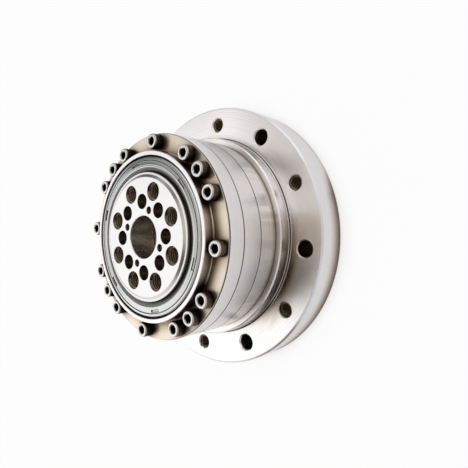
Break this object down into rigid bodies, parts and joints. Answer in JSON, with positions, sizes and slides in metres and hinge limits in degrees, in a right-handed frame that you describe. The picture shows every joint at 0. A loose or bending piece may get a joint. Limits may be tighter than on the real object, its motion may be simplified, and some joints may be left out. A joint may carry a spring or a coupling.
{
  "type": "strain wave gear",
  "caption": "Round strain wave gear unit with a wide mounting flange, a drilled output face on a crossed roller bearing, and a keyed input hub at the rear.",
  "frame": {"origin": "centre of the mounting flange's rear face, on the gear's axis", "axes": "+Z along the gear's axis from the rear face, where the motor goes, to the output face; +Y through one of the four single screws; +X through another"},
  "size_m": [0.194, 0.194, 0.087],
  "materials": {
    "turned_flange_steel": "fine turned, bright",
    "turned_ring_steel": "fine turned, satin",
    "satin_ring_steel": "ground, satin",
    "ground_output_steel": "face ground, bright",
    "seal_case_metal": "pressed and turned",
    "nitrile_rubber": "moulded",
    "screw_steel": "satin plated",
    "pin_steel": "ground",
    "plain_machined_steel": "machined",
    "flexspline_steel": "turned and hobbed",
    "bearing_steel": "polished",
    "moulded_nylon": "moulded",
    "washer_plastic": "filled phenolic sheet",
    "spring_steel": "phosphated"
  },
  "bodies": {
    "housing": {"mounting_flange": "turned_flange_steel", "circular_spline": "turned_ring_steel", "spacer_case": "satin_ring_steel", "bearing_outer_ring": "satin_ring_steel", "loading_plug": "satin_ring_steel", "plug_pin": "pin_steel", "flange_o_ring": "nitrile_rubber", "spline_o_ring": "nitrile_rubber", "bearing_o_ring": "nitrile_rubber", "assembly_screws": "screw_steel", "seal_case": "seal_case_metal", "seal_lip": "nitrile_rubber"},
    "output": {"output_flange": "ground_output_steel", "flexspline": "flexspline_steel", "clamp_plate": "plain_machined_steel", "clamp_screws": "screw_steel", "dowel_pins": "pin_steel"},
    "roller_set": {"crossed_rollers": "bearing_steel", "roller_spacers": "moulded_nylon"},
    "wave_generator": {"bearing_outer_race": "bearing_steel", "bearing_inner_race": "bearing_steel", "bearing_balls": "bearing_steel", "ball_separator": "moulded_nylon", "wave_generator_plug": "plain_machined_steel", "oldham_insert": "plain_machined_steel", "rub_washers": "washer_plastic", "retaining_ring": "spring_steel", "wave_generator_hub": "plain_machined_steel"}
  },
  "joints": [
    {"name": "input_turn", "type": "hinge", "parent": "housing", "child": "wave_generator", "pos_m": [0, 0, 0.043], "axis": [0, 0, 1], "continuous": true, "deforming": ["flexspline"]},
    {"name": "output_turn", "type": "hinge", "parent": "housing", "child": "output", "pos_m": [0, 0, 0.0718], "axis": [0, 0, 1], "continuous": true},
    {"name": "roller_turn", "type": "hinge", "parent": "housing", "child": "roller_set", "pos_m": [0, 0, 0.0718], "axis": [0, 0, 1], "continuous": true}
  ],
  "couplings": [
    {"joint": "output_turn", "follows": "input_turn", "ratio": -0.02},
    {"joint": "roller_turn", "follows": "input_turn", "ratio": -0.009484}
  ]
}
